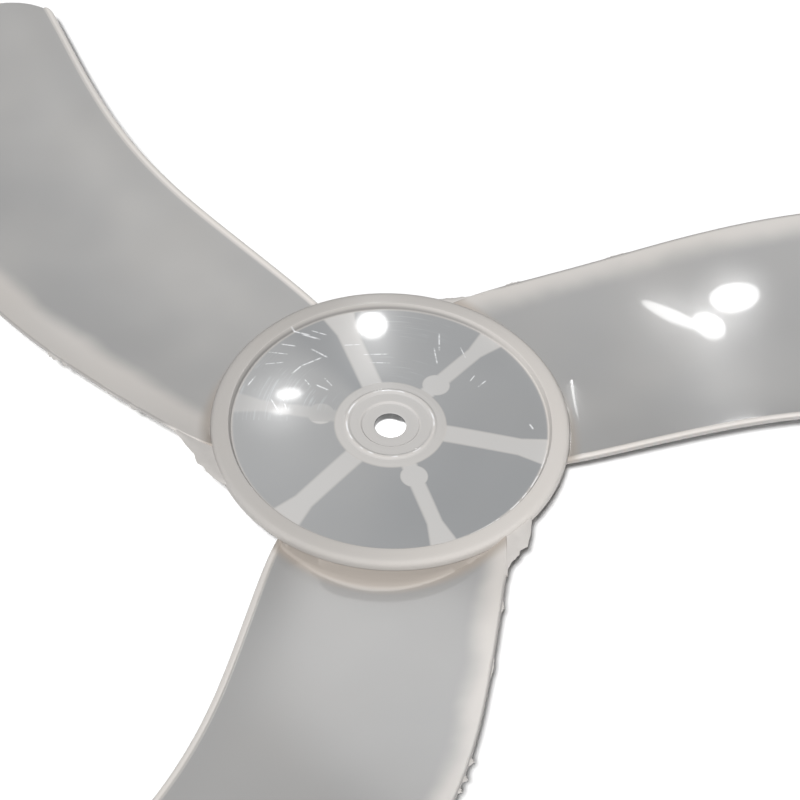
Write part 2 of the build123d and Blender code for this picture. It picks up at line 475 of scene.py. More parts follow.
def section_stops():
    """Places across a blade: share of the chord, and millimetres beside it, from nose to tail."""
    nose = [(0, LIP_R * (1 - cos(radians(a)))) for a in range(0, 91, 10)]
    lip = [(0, LIP_R * (1 + sin(radians(a)))) for a in range(12, 61, 12)]
    blend = [(0, d) for d in (1.95, 2.15, 2.4, 2.7, 3.05, 3.5, 4.0, 4.7)]
    body = [(k / 64, (1 - k / 64) * 5.5) for k in range(0, 62)]
    tail = [(1, -TAIL_ROUND * (1 - sin(radians(a)))) for a in range(0, 91, 15)]
    before = [(1, -d) for d in (2.4, 1.7, 1.1, 0.75)]
    return np.array(nose + lip + blend + body + before + tail)


def blade_mesh(rows):
    """One blade as a closed mesh with the distances from its edges as attributes."""
    stops = section_stops()
    columns = len(stops)

    def place(share):
        """Chord points at shares[row, column]."""
        lead, trail, sag = blade_row(share)
        run = trail - lead
        length = np.linalg.norm(run, axis=-1)
        x = stops[:, 0] * length + stops[:, 1]
        point = lead + run * (x / length)[..., None]
        return point, run, length, sag, x

    def bisect(low, high, outside):
        """Share at which each column crosses a limit."""
        low, high = np.full((1, columns), low), np.full((1, columns), high)
        for _ in range(40):
            middle = (low + high) / 2
            out = outside(place(middle)[0][..., :2])
            low, high = np.where(out, low, middle), np.where(out, middle, high)
        return (low + high) / 2

    hidden_r = (SKIRT_R + SKIRT_INNER_R) / 2
    start = bisect(-0.02, 0.5, lambda p: np.linalg.norm(p, axis=-1) > hidden_r)
    end = bisect(0.6, 1.04, lambda p: tip_limit(p) > 0)
    v = np.linspace(0, 1, rows)[:, None]
    v = 0.35 * v + 0.65 * v**1.7
    shares = start + (end - start) * v
    # the tip's edge is rounded: the last rows draw together
    closing = np.radians(np.array((0, 25, 45, 60, 75, 90)))
    span = TIP_R - SKIRT_INNER_R
    half_tip = TIP_WALL / 2
    last = end - half_tip / span * (1 - np.sin(closing))[:, None]
    shares = np.concatenate([shares[:-1][(shares[:-1] < last[:1]).all(axis=1)], last])
    squeeze = np.concatenate([np.ones(len(shares) - len(closing)), np.cos(closing)])[:, None]

    point, run, length, sag, x = place(shares)
    along = run / length[..., None]
    side = np.cross(along, (0, 0, 1))
    side /= np.linalg.norm(side, axis=-1)[..., None]
    up = np.cross(side, along)
    wall = ROOT_WALL + (TIP_WALL - ROOT_WALL) * shares
    nose = NOSE_SHARE * wall
    lip_y = LIP_RISE - nose / 2
    zero = np.zeros_like(x)
    front = arc_height(x, zero + LIP_R, zero, length / 2, -sag, length, zero)
    back = arc_height(x, zero + LIP_R, -nose, length / 2, -sag - wall, length, zero - TAIL_WALL)
    lip_top = lip_y + np.sqrt(np.clip(LIP_R**2 - (x - LIP_R) ** 2, 0, None))
    lip_top -= 3 * np.clip(x - 1.85 * LIP_R, 0, None)
    under = lip_y - (lip_y + nose) * np.sqrt(np.clip(1 - ((x - LIP_R) / LIP_R) ** 2, 0, None))
    top = np.where(x <= LIP_R, lip_top, smooth_max(lip_top, front, 0.35))
    bottom = np.where(x <= LIP_R, under, back)
    # round tail
    tail = np.clip((x - (length - TAIL_ROUND)) / TAIL_ROUND, 0, 1)
    squeeze_tail = np.sqrt(1 - tail**2)
    middle = (top + bottom) / 2
    half = (top - bottom) / 2 * squeeze_tail * squeeze
    front_points = point + up * (middle + half)[..., None]
    back_points = point + up * (middle - half)[..., None]
    # hollow blend under the rim
    radius = np.linalg.norm(front_points[..., :2], axis=-1)
    drop = np.clip(COVE_R - (radius - COVE_TOP[0]), 0, COVE_R)
    cove = COVE_TOP[1] - np.sqrt(np.clip(COVE_R**2 - drop**2, 0, None))
    cove = np.where(radius > COVE_TOP[0] + COVE_R, -99, cove)
    lifted = smooth_max(front_points[..., 2], cove, 1.2)
    share_in = np.clip((x - 1.6 * LIP_R) / 2.0, 0, 1) * np.clip((length - x) / 1.0, 0, 1)
    front_points[..., 2] += (lifted - front_points[..., 2]) * share_in * (squeeze > 0.99)
    points = np.concatenate([front_points, back_points[:, ::-1]], axis=1)

    def both(values):
        values = np.broadcast_to(values, x.shape)
        return np.concatenate([values, values[:, ::-1]], axis=1)

    attributes = {
        "from_lead": both(x),
        "from_trail": both(length - x),
        "span": both(shares),
    }
    mesh = grid_mesh("blade", points, True, attributes=attributes)
    # the root is closed inside the skirt
    bm = bmesh.new()
    bm.from_mesh(mesh)
    bm.verts.ensure_lookup_table()
    for k in range(columns - 1):
        a, b, c, d = k, k + 1, 2 * columns - 2 - k, 2 * columns - 1 - k
        bm.faces.new([bm.verts[i] for i in (a, b, c, d)])
    bm.to_mesh(mesh)
    bm.free()
    tidy_mesh(mesh)
    return mesh


# ---- the hub ---------------------------------------------------------------------

def skirt_edges():
    """Directions in which the deep skirt of the first blade starts and ends."""
    return STATIONS[0, 1] + SKIRT_LEAD, STATIONS[0, 2] - SKIRT_TRAIL


def skirt_bottom(direction):
    """Height of the skirt's lower edge: deep behind the blades, shallow between them."""
    lead, trail = skirt_edges()
    turned = (direction - lead) % BLADE_PITCH
    width = trail - lead
    inside = np.clip((width / 2 - abs(turned - width / 2)) / SKIRT_STEP, 0, 1)
    return SKIRT_SHALLOW_Z + (SKIRT_DEEP_Z - SKIRT_SHALLOW_Z) * inside


def hub_mesh(segments):
    """Rim, skirt, plate and boss as one turned body with a stepped skirt."""
    foot_z = PLATE_CENTRE_Z - PLATE_THICK
    boss_z, seat_z = PLATE_CENTRE_Z + 0.2, PLATE_CENTRE_Z + 0.2 - 0.45
    plate_r = np.linspace(PLATE_EDGE_R, BOSS_FOOT_R + 0.4, 18)[1:-1]
    crown = [PLATE_EDGE_Z + PLATE_CROWN * (1 - ((r - BOSS_R) / (PLATE_EDGE_R - BOSS_R)) ** 1.6)
             for r in plate_r]
    step_mark = -1.0  # corners whose height is the skirt's lower edge
    corners = [
        (BORE_R, 0, 0.3), (BORE_R, seat_z, 0.4), (7.35, seat_z, 0.15), (7.8, boss_z, 0.2),
        (10.5, boss_z - 0.02, 0.5), (11.1, boss_z + 0.3, 0.4), (11.7, boss_z + 0.3, 0.4),
        (12.3, boss_z - 0.06, 0.5), (13.4, boss_z - 0.1, 0.6), (14.9, PLATE_CENTRE_Z - 0.08, 0.6),
        *[(r, z, 0) for r, z in zip(plate_r[::-1], crown[::-1])],
        (PLATE_EDGE_R, PLATE_EDGE_Z, 0.35), (RIM_INNER_R, HUB_DEPTH + 0.5, 0.3),
        (RIM_R, HUB_DEPTH, 1.5), (RIM_R, RIM_UNDER_Z, 0.7),
        (SKIRT_R, RIM_UNDER_Z, 0.2), (SKIRT_R, step_mark, 0.2), (SKIRT_INNER_R, step_mark, 0.2),
        (SKIRT_INNER_R, PLATE_EDGE_Z - PLATE_THICK, 0.3),
        *[(r, z - PLATE_THICK, 0) for r, z in zip(plate_r, crown)],
        (BOSS_FOOT_R, foot_z, 0.3), (BOSS_R, foot_z - 3.5, 0.3), (BOSS_R, 0, 0.3),
    ]

    def profile(bottom):
        shaped = [(r, bottom if z == step_mark else z, c) for r, z, c in corners]
        return fillet_path(shaped, 4)

    # both profiles have the same number of points, so their runs are split alike
    deep, shallow = profile(SKIRT_DEEP_Z), profile(SKIRT_SHALLOW_Z)
    parts = [max(1, int(np.ceil(np.linalg.norm(b - a) / 1.3)))
             for a, b in zip(deep, np.roll(deep, -1, axis=0))]

    def split(path):
        out = []
        for a, b, n in zip(path, np.roll(path, -1, axis=0), parts):
            out.extend(a + (b - a) * k / n for k in range(n))
        return np.array(out)

    deep, shallow = split(deep), split(shallow)
    directions = set(np.round(np.linspace(0, 360, segments, endpoint=False), 4))
    for blade in range(3):
        for edge, sign in zip(skirt_edges(), (1, -1)):
            for at in (edge, edge + sign * SKIRT_STEP):
                directions.add((at + BLADE_PITCH * blade) % 360)
    directions = np.array(sorted(directions))
    points = []
    for direction in directions:
        share = (SKIRT_SHALLOW_Z - skirt_bottom(direction)) / (SKIRT_SHALLOW_Z - SKIRT_DEEP_Z)
        path = shallow + (deep - shallow) * share
        angle = radians(direction)
        points.append(np.stack([path[:, 0] * cos(angle), path[:, 0] * sin(angle), path[:, 1]], -1))
    mesh = grid_mesh("hub", np.array(points), True, True)
    tidy_mesh(mesh)
    return mesh


def rib_mesh(width, pad):
    """One rib behind the plate, along X, flared at the skirt."""
    inner, outer, flare, flare_length = BOSS_R - 0.5, SKIRT_INNER_R + 0.5, 7.0, 7.0
    deep, shallow = 15.0, 4.7  # below the rim plane, at the boss and at the skirt
    soft = 0.3  # chamfer of the rear edges
    stops = sorted(set(np.round(np.concatenate([
        np.linspace(inner, outer, 60), [outer - flare_length]]), 3)))
    rows = []
    for r in stops:
        half = width / 2 + (flare - width) / 2 * np.clip(
            (r - outer + flare_length) / flare_length, 0, 1)
        if pad and abs(r - PAD_CIRCLE_R) < PAD_R:
            half = max(half, sqrt(PAD_R**2 - (r - PAD_CIRCLE_R) ** 2))
        low = HUB_DEPTH - deep + (r - BOSS_R) * (deep - shallow) / (SKIRT_R - BOSS_R)
        low = max(low, HUB_DEPTH - deep)
        high = PLATE_EDGE_Z - PLATE_THICK / 2
        rows.append([(r, half, high), (r, half, low + soft), (r, half - soft, low),
                     (r, -half + soft, low), (r, -half, low + soft), (r, -half, high)])
    mesh = grid_mesh("rib", np.array(rows), True)
    bm = bmesh.new()
    bm.from_mesh(mesh)
    bm.verts.ensure_lookup_table()
    for first in (0, (len(stops) - 1) * 6):
        bm.faces.new([bm.verts[first + k] for k in range(6)])
    bm.to_mesh(mesh)
    bm.free()
    tidy_mesh(mesh)
    return mesh


# ---- flash at the roots and burrs on the edges ------------------------------------

FLASH_OVERLAP = 0.8  # how far the flash reaches into the wall behind it

# Outer line of the web between the rim and each trailing root: radius, and direction
# seen from the blade's own start.
WEBS = (
    ((46.6, 79.5), (47.3, 77.0), (49.6, 71.5), (52.0, 66.8), (54.0, 64.8)),
    ((46.6, 88.5), (48.0, 86.3), (49.9, 82.0), (50.4, 79.0), (51.7, 77.0), (51.9, 73.0),
     (53.3, 70.2), (54.6, 67.0), (56.5, 64.2)),
    ((46.6, 83.6), (48.2, 81.3), (50.8, 77.0), (52.7, 74.0), (52.4, 71.6), (53.5, 70.0),
     (54.1, 67.0), (55.4, 65.0), (57.6, 63.4)),
)
# Burrs on the trailing edges: blade, share of the span, length and reach in millimetres.
BURRS = (
    (1, 0.323, 4.0, 0.7), (1, 0.30, 1.6, 0.5), (1, 0.21, 5.0, 0.35), (1, 0.165, 2.2, 0.6),
    (2, 0.444, 2.4, 0.7), (2, 0.478, 2.0, 0.8), (2, 0.502, 1.6, 0.6), (2, 0.26, 6.0, 0.3),
    (2, 0.15, 3.0, 0.45), (0, 0.30, 6.0, 0.3), (0, 0.13, 4.0, 0.35),
)


def turned(point, blade):
    """The point moved from the first blade to another."""
    angle = radians(BLADE_PITCH * blade)
    x, y, z = point
    return np.array((x * cos(angle) - y * sin(angle), x * sin(angle) + y * cos(angle), z))


def closed_strip(name, loops, halves):
    """A closed mesh from equal loops; halves pairs the points that its end faces join."""
    mesh = grid_mesh(name, loops, True)
    bm = bmesh.new()
    bm.from_mesh(mesh)
    bm.verts.ensure_lookup_table()
    n = loops.shape[1]
    for first in (0, (len(loops) - 1) * n):
        for k in range(halves):
            bm.faces.new([bm.verts[first + i] for i in (k, k + 1, n - 2 - k, n - 1 - k)])
    bm.to_mesh(mesh)
    bm.free()
    tidy_mesh(mesh)
    return mesh


def web_mesh(blade, rng):
    """A thin ragged web of flash in the corner between the rim and a trailing root."""
    line = np.array(WEBS[blade])
    count, across = 60, 9
    t, stops = np.linspace(0, 1, count), np.linspace(0, 1, len(line))
    radius, direction = np.interp(t, stops, line[:, 0]), np.interp(t, stops, line[:, 1])
    ragged = np.convolve(rng.normal(0, 1, count + 4), np.ones(3) / 3, "same")[:count]
    radius = radius + 0.16 * ragged * np.sin(pi * t)
    half_wall = 0.45
    half = half_wall * np.array([0.15, 0.5, 0.85] + [1] * (across - 3))
    shares = np.linspace(-0.02, 0.2, 60)
    edge_r = SKIRT_INNER_R + shares * (TIP_R - SKIRT_INNER_R)
    edge_dir = spline(STATIONS[:, 0], STATIONS[:, 2], shares)
    inner = np.interp(-direction, -edge_dir, edge_r) - FLASH_OVERLAP
    loops = []
    for r, d, foot in zip(radius, np.radians(direction), np.clip(inner, 45.6, None)):
        edge = blade_row(np.array([(r - SKIRT_INNER_R) / (TIP_R - SKIRT_INNER_R)]))[1][0]
        wing = np.clip((r - RIM_R) / 4.0, 0, 1)
        z = (HUB_DEPTH - 1.1) * (1 - wing) + (edge[2] - 0.15) * wing - half_wall
        rr = r + (min(foot, r - 0.3) - r) * np.linspace(0, 1, across)
        row = np.stack([rr * cos(d), rr * sin(d), np.full(across, z)], -1)
        rise = np.stack([0 * half, 0 * half, half], -1)
        loops.append([turned(p, blade) for p in np.concatenate([row + rise, (row - rise)[::-1]])])
    return closed_strip("web", np.array(loops), across - 1)


def burr_mesh(blade, share, length, reach, rng):
    """A small ragged fin on the trailing edge of a blade."""
    half = length / 2 / (TIP_R - SKIRT_INNER_R)
    count = 15
    swell = np.sin(np.linspace(0.05, pi - 0.05, count)) ** 0.6
    swell *= 1 + 0.35 * rng.normal(0, 1, count)
    loops = []
    for s, w in zip(np.linspace(share - half, share + half, count), swell):
        lead, trail, _ = (v[0] for v in blade_row(np.array([s])))
        out = (trail - lead) / np.linalg.norm(trail - lead)
        tip, foot = trail + out * max(reach * w, 0.02), trail - out * FLASH_OVERLAP
        corners = [at + (0, 0, -low) for at, low in (
            (foot, 0.15), (tip, 0.45), (tip, 0.65), (foot, 0.95))]
        loops.append([turned(p, blade) for p in corners])
    return closed_strip("burr", np.array(loops), 1)


def joined(meshes, name):
    """Several meshes as one."""
    bm = bmesh.new()
    for mesh in meshes:
        bm.from_mesh(mesh)
    made = bpy.data.meshes.new(name)
    bm.to_mesh(made)
    bm.free()
    return made


# ---- finishes ----------------------------------------------------------------------

def surface_noise(shader, place):
    """Marks that the walls share: broad clouds, the warm tint's share and fine grain."""
    cloud = shader.noise(place, 0.022, 2.0, 0.45)
    warm = (shader.noise(place, 0.035, 2.0, 0.5, shift=(31, 7, 3)) - 0.5) * 0.3 + 0.08
    grain = shader.noise(place, 1.6, 2.0, 0.6)
    return cloud, warm, grain


# Scratches in the dish, in millimetres in the plane of the rim: start, end and half width.
SCRATCHES = (
    (-27.5, 32.2, -22.5, 30.8, 0.35), (-24.5, 31.0, -19.8, 29.3, 0.45), (-22.0, 32.4, -18.0, 31.0, 0.3),
    (-29.8, 27.2, -26.0, 26.6, 0.3), (-33.0, 24.2, -28.0, 23.6, 0.25), (-21.8, 25.6, -17.4, 22.8, 0.4),
    (-19.0, 22.6, -24.2, 19.4, 0.35), (-24.2, 19.4, -26.5, 16.6, 0.35), (-34.0, 19.8, -29.0, 20.6, 0.25),
    (-29.2, 10.5, -27.4, 4.0, 0.3), (-31.6, 7.5, -29.0, 2.4, 0.3), (-38.0, 12.0, -36.0, 15.5, 0.3),
    (11.8, 33.4, 12.0, 27.0, 0.35), (10.6, 27.8, 11.6, 22.2, 0.3), (17.6, 28.6, 19.0, 25.0, 0.25),
    (-13.2, 27.4, -9.0, 27.9, 0.25), (-8.0, 24.2, -1.5, 24.8, 0.25), (-6.4, 21.4, -0.5, 21.6, 0.2),
    (22.6, 14.8, 24.6, 17.2, 0.3), (20.4, 16.6, 21.6, 18.8, 0.25), (36.4, 3.0, 37.4, 1.4, 0.4),
    (-20.0, 12.8, -16.6, 11.0, 0.4), (-17.8, 15.2, -15.8, 12.6, 0.3), (-23.0, 14.6, -21.4, 12.2, 0.3),
)


def hub_finish(look):
    """Translucent moulded plastic: thin plate grey, ribs and rim paler, polished in circles; with painted
    highlights, painted shade and a glowing bore.
    """
    shader = Shader("hub plastic")
    place, x, y, z = shader.coordinates()
    radius = (x * x + y * y).maths("SQRT")
    direction = y.maths("ARCTAN2", x) * (180 / pi)
    cloud, warm, grain = surface_noise(shader, place)

    def rib(first, width, flare):
        """1 on three ribs of a width, with their flare at the rim."""
        turned = (direction - first + RIB_PITCH / 2) % RIB_PITCH - RIB_PITCH / 2
        turned = turned * (pi / 180)
        along, across = radius * turned.maths("COSINE"), abs(radius * turned.maths("SINE"))
        half = (along - (SKIRT_INNER_R - 7.5)).maths("MAXIMUM", 0.0) * ((flare - width) / 15) + width / 2
        stripe = (across - half).step(0.6, -0.5)
        return stripe, along, across

    narrow, along, across = rib(RIB_ANGLE, 3.7, 7.0)
    wide, _, _ = rib(RIB_ANGLE + 60, 5.2, 8.6)
    pad = (along - PAD_CIRCLE_R) * (along - PAD_CIRCLE_R)
    pad = (pad + across * across).maths("SQRT").step(PAD_R + 0.3, PAD_R - 0.3)
    ribs = narrow.maths("MAXIMUM", wide).maths("MAXIMUM", pad)
    # Painted light: around 168 degrees the ribs fade, as glare washes them out there.
    ribs = ribs * (1 - direction.bump(168.0, 42.0) * 0.75)
    plate = radius.step(BOSS_FOOT_R - 0.2, BOSS_FOOT_R + 0.5) * radius.step(PLATE_EDGE_R, PLATE_EDGE_R - 0.8)
    front = z.step(PLATE_EDGE_Z - 0.9, PLATE_EDGE_Z - 0.4)
    thin = plate * (1 - ribs)

    # Painted light and shade: the rim and thick walls are lighter towards +x and darker elsewhere.
    painted_bright_side = (x * 0.9 - y * 0.1).step(-20.0, 48.0)
    colour = shader.mix(painted_bright_side, look.rim_painted_shade, look.rim_colour)
    # Random clouds, plus painted shade towards +x and -y and a painted dark reflection in a wedge at about
    # 124 degrees.
    deep = cloud.step(0.3, 0.7) * 0.4 + (x - y * 0.6).step(-6.0, 26.0) * 0.6
    deep = deep + direction.bump(124.0, 18.0) * 0.9
    cool = shader.mix(deep, look.plate_colour, look.plate_clouds_and_shade)
    colour = shader.mix(thin, colour, cool)
    colour = shader.mix(plate * ribs, colour, look.rib_colour)
    boss = radius.step(BOSS_FOOT_R + 0.2, BOSS_FOOT_R - 0.3)
    colour = shader.mix(boss, colour, look.boss_colour)
    # Painted highlights along the boss's raised ring and inner step, in the lip's colour.
    painted_ring_highlights = radius.bump(11.5, 0.7) * 0.6 + radius.bump(7.8, 0.5) * 0.3
    colour = shader.mix(painted_ring_highlights * front, colour, look.lip_and_ring_highlight)
    # Painted glints on the boss ring, and on the plate's edge towards +x and -y.
    painted_glints = radius.bump(11.4, 0.35) * shader.noise(place, 0.22, 1.0, 0.4, shift=(8, 2, 0)).step(0.5, 0.58)
    colour = shader.mix(painted_glints * front * 0.9, colour, look.scuff_and_glint_colour)
    painted_glints = radius.bump(PLATE_EDGE_R - 0.25, 0.3) * (x * 0.7 - y).step(30.0, 44.0)
    painted_glints = painted_glints * shader.noise(place, 0.3, 1.0, 0.4, shift=(4, 4, 1)).step(0.42, 0.5)
    colour = shader.mix(painted_glints * 0.75, colour, look.scuff_and_glint_colour)
    # Painted shade along the rim's inner wall, towards +y.
    rim_wall_painted_shade = radius.bump(PLATE_EDGE_R + 0.1, 0.45) * (y - x * 0.4).step(8.0, 34.0)
    colour = shader.mix(rim_wall_painted_shade * 0.6, colour, look.edge_painted_shade)
    # Painted shade on the rim's outer wall, towards +y.
    wall = radius.step(RIM_R - 0.35, RIM_R - 0.05) * z.step(HUB_DEPTH - 0.5, HUB_DEPTH - 1.4)
    colour = shader.mix(wall * y.step(-28.0, 5.0) * 0.45, colour, look.edge_painted_shade)
    # Painted shade in the hollow under the rim.
    under = z.step(HUB_DEPTH - 2.0, RIM_UNDER_Z - 1.0) * radius.step(PLATE_EDGE_R, SKIRT_R)
    colour = shader.mix(under * 0.75, colour, look.cove_painted_shade)
    colour = shader.mix(warm, colour, look.warm_tint, "MULTIPLY")

    # Painted light: the bore's wall is near white and glows, though it is no lamp; a painted shadow darkens
    # its edge at about 115 degrees.
    inside = radius.step(BORE_R + 0.25, BORE_R + 0.1)
    far_wall = abs((direction - 115.0 + 180) % 360 - 180).step(120.0, 50.0)
    crescent = inside * (z + far_wall * 2.6).step(19.2, 20.6)
    colour = shader.mix(inside, colour, look.bore_painted_light)
    colour = shader.mix(crescent, colour, look.bore_shade)

    # Painted sheen: polishing swirls lightened only in the sectors where the dish's highlights fall.
    swirl = Value(shader.tree, shader.node(
        "TexNoise", Vector=shader.vector(radius * 1.5, direction * 0.035, 0.0), Scale=1.0,
        Detail=2.0, Roughness=0.6).outputs[0]).step(0.5, 0.72)
    sector = direction.bump(166.0, 38.0) + direction.bump(84.0, 26.0) * 0.5
    broken = shader.noise(place, 0.12, 2.0, 0.5, shift=(5, 3, 9)).step(0.42, 0.58)
    swirl = swirl * sector * broken * plate * radius.step(14.0, 19.0)
    colour = shader.mix(swirl * 0.45, colour, look.swirl_sheen_colour)
    scratch = shader.strokes(x, y, SCRATCHES)
    scratch = scratch * shader.noise(place, 0.8, 2.0, 0.6, shift=(2, 9, 4)).step(0.3, 0.6)
    colour = shader.mix(scratch * front * 0.8, colour, look.scuff_and_glint_colour)
    polish = shader.node("TexNoise", Vector=shader.vector(radius * 2.4, 0.0, 0.0), Scale=1.0,
                         Detail=3.0, Roughness=0.7).outputs[0]
    polish = Value(shader.tree, polish)
    height = polish * 0.007 * plate + grain * 0.01
    bump = shader.node("Bump", Strength=0.35, Distance=0.0006, Height=height)
    rough = cloud * 0.1 + 0.48 - plate * 0.16 + grain * 0.08
    # The emission is the bore wall's painted glow.
    return shader.finish(shader.node(
        "BsdfPrincipled", Base_Color=colour, Roughness=rough, Normal=bump.outputs[0], IOR=1.5,
        Coat_Weight=plate * 0.5 + boss * 0.2 + 0.08, Coat_Roughness=0.1, Emission_Strength=1.0,
        Emission_Color=shader.mix(inside * (1 - crescent), (0, 0, 0), (0.55, 0.55, 0.55))))


def blade_finish(look):
    """The same plastic on the blades: pale lip and tail, grey where the wall is thin; with painted shade
    beside the lips, on the outermost edges, under the rim and per blade.
    """
    shader = Shader("blade plastic")
    place, x, y, _ = shader.coordinates()
    cloud, warm, grain = surface_noise(shader, place)
    lead, trail, span = (shader.attribute(key) for key in ("from_lead", "from_trail", "span"))
    ripple = shader.noise(place, 0.06, 2.0, 0.5, shift=(3, 11, 5))
    copy = shader.attribute("copy")
    first, second = copy.bump(0.0, 1.0), copy.bump(1.0, 1.0)

    colour = shader.mix(cloud.step(0.3, 0.7), look.blade_colour, look.blade_shade)
    # Painted shade: the first blade darker away from its lip and the third blade darker all over, each blade
    # with its own lit tone.
    far = first * lead.step(6.0, 42.0) + copy.bump(2.0, 1.0) * 1.4
    colour = shader.mix(far * 0.5, colour, look.blade_painted_shade)
    # Painted shade beside the leading lip, on the second and third blades.
    beside = (lead + (ripple - 0.5) * 3).step(14.0, 2.0)
    colour = shader.mix(beside * (1 - first) * 0.3, colour, look.blade_painted_shade)
    # Paler band of the thick trailing edge; its width and strength differ per blade as painted light.
    tail = (trail - second * 7 + (ripple - 0.5) * 5).step(8.5, 1.0)
    colour = shader.mix(tail * (1 - first * 0.25), colour, look.tail_colour)
    # Painted shade on the outermost line of the trailing edge, away from the root.
    colour = shader.mix(trail.step(1.0, 0.2) * span.step(0.09, 0.12) * 0.55, colour, look.edge_painted_shade)
    lip = lead.step(2.3, 1.5)
    colour = shader.mix(lip, colour, look.lip_and_ring_highlight)
    # Painted shade on the outermost line of the lip.
    colour = shader.mix(lead.step(0.35, 0.0) * 0.55, colour, look.edge_painted_shade)
    colour = shader.mix(warm, colour, look.warm_tint, "MULTIPLY")
    radius = (x * x + y * y).maths("SQRT")
    # Painted shade in the hollow under the rim, at the blade roots.
    colour = shader.mix(radius.step(51.0, 47.6) * 0.8, colour, look.cove_painted_shade)
    height = grain * 0.01 + ripple * 0.3
    bump = shader.node("Bump", Strength=0.3, Distance=0.0006, Height=height)
    rough = cloud * 0.1 + 0.4 + grain * 0.06
    return shader.finish(shader.node(
        "BsdfPrincipled", Base_Color=colour, Roughness=rough, Normal=bump.outputs[0], IOR=1.5,
        Coat_Weight=0.6, Coat_Roughness=0.1))


def flash_finish(look):
    """Thin flash: paler and duller than the walls."""
    shader = Shader("flash plastic")
    place, x, _, _ = shader.coordinates()
    cloud = shader.noise(place, 0.5, 3.0, 0.6)
    grain = shader.noise(place, 3.0, 2.0, 0.6)
    # Painted shade: towards -x the flash takes the rim's painted shade, with random clouds on top.
    colour = shader.mix(x.step(-40.0, 20.0) * 0.6 + cloud * 0.3, look.rim_painted_shade, look.rim_colour)
    bump = shader.node("Bump", Strength=0.2, Distance=0.0003, Height=grain * 0.05 + cloud * 0.2)
    return shader.finish(shader.node(
        "BsdfPrincipled", Base_Color=colour, Roughness=grain * 0.2 + 0.4, Normal=bump.outputs[0],
        IOR=1.5))


def colour_property(name, description, default):
    return bpy.props.FloatVectorProperty(
        name=name, description=description, default=default, size=3, subtype="COLOR",
        min=0.0, max=1.0)


def grey(level, warmth=0.0):
    """A colour from its display level, 0 to 255, warmer above 0 and cooler below."""
    def linear(v):
        v = v / 255
        return v / 12.92 if v <= 0.04045 else ((v + 0.055) / 1.055) ** 2.4
    return (linear(level + warmth), linear(level), linear(level - warmth))


class ImpellerFinish(bpy.types.PropertyGroup):
    """Colours of the moulding, with the light and shade painted into them."""
    blade_colour: colour_property("Blade", "Thin wall of a blade", grey(162, 1))
    blade_shade: colour_property("Blade shade", "Darker clouds in a blade", grey(149, 0))
    # Painted shade beside the leading lip and on the darker-lit blades.
    blade_painted_shade: colour_property("Beside the lip", "Wall beside the leading lip", grey(140, 0))
    tail_colour: colour_property("Tail band", "Thick band along the trailing edge", grey(192, 4))
    # The lip colour is also used for the painted highlights on the boss rings.
    lip_and_ring_highlight: colour_property("Lip", "Rounded lip along the leading edge", grey(200, 4))
    # Painted shade on the outermost lines of walls seen edge on, and on the rim's walls.
    edge_painted_shade: colour_property("Edges", "Outermost line of a wall, seen edge on", grey(96, 0))
    # Painted sheen in polishing swirls of the dish.
    swirl_sheen_colour: colour_property("Swirls", "Polishing marks in the dish", grey(196, -4))
    # The rim colour is the painted bright side of the rim and thick walls; the rim shade below is their
    # painted shade.
    rim_colour: colour_property("Rim", "Rim and thick walls", grey(198, 4))
    rim_painted_shade: colour_property("Rim shade", "Rim away from its bright side", grey(170, 3))
    plate_colour: colour_property("Plate", "Thin plate between the ribs", grey(152, -1))
    # Random darker clouds of the plate, and also its painted shade and painted dark reflection.
    plate_clouds_and_shade: colour_property("Plate shade", "Darker clouds in the plate", grey(138, -2))
    rib_colour: colour_property("Ribs", "Plate in front of a rib", grey(184, 1))
    boss_colour: colour_property("Boss", "Front of the boss", grey(182, 2))
    # Painted shade under the rim and at the blade roots.
    cove_painted_shade: colour_property("Under the rim", "Hollow under the rim", grey(146, 9))
    # Painted light: the bore's near-white, glowing wall.
    bore_painted_light: colour_property("Bore", "Wall of the bore, bright with the light through it",
                                 (0.9, 0.9, 0.9))
    bore_shade: colour_property("Bore edge", "Shaded upper edge of the bore", grey(62, 0))
    # Colour of the scuffs, and also of the painted glints on the boss ring and the plate's edge.
    scuff_and_glint_colour: colour_property("Scratches", "Scuffs in the dish", (0.85, 0.86, 0.88))
    warm_tint: colour_property("Warm tint", "Tint of the warmer clouds", (1.0, 0.93, 0.84))


class StageSettings(bpy.types.PropertyGroup):
    """Camera, lamps and floor."""
    lens: bpy.props.FloatProperty(
        name="Lens", description="Focal length on a 36 mm sensor", default=225.0, min=20.0)
    distance: bpy.props.FloatProperty(
        name="Camera distance", description="Camera to the middle of the rim plane",
        default=1.30475, unit="LENGTH")
    elevation: bpy.props.FloatProperty(
        name="Camera elevation", description="Camera above the horizon",
        default=radians(48.85), subtype="ANGLE")
    roll: bpy.props.FloatProperty(
        name="Camera roll", description="Turn of the view about its middle",
        default=0.0462, subtype="ANGLE")
    sun_power: bpy.props.FloatProperty(
        name="Sun", description="Strength of the main lamp", default=3.98, min=0.0)
    sun_width: bpy.props.FloatProperty(
        name="Sun width", description="Apparent width of the main lamp",
        default=radians(5.0), subtype="ANGLE")
    ambient: bpy.props.FloatProperty(
        name="Ambient", description="Strength of the surrounding light", default=0.08, min=0.0)


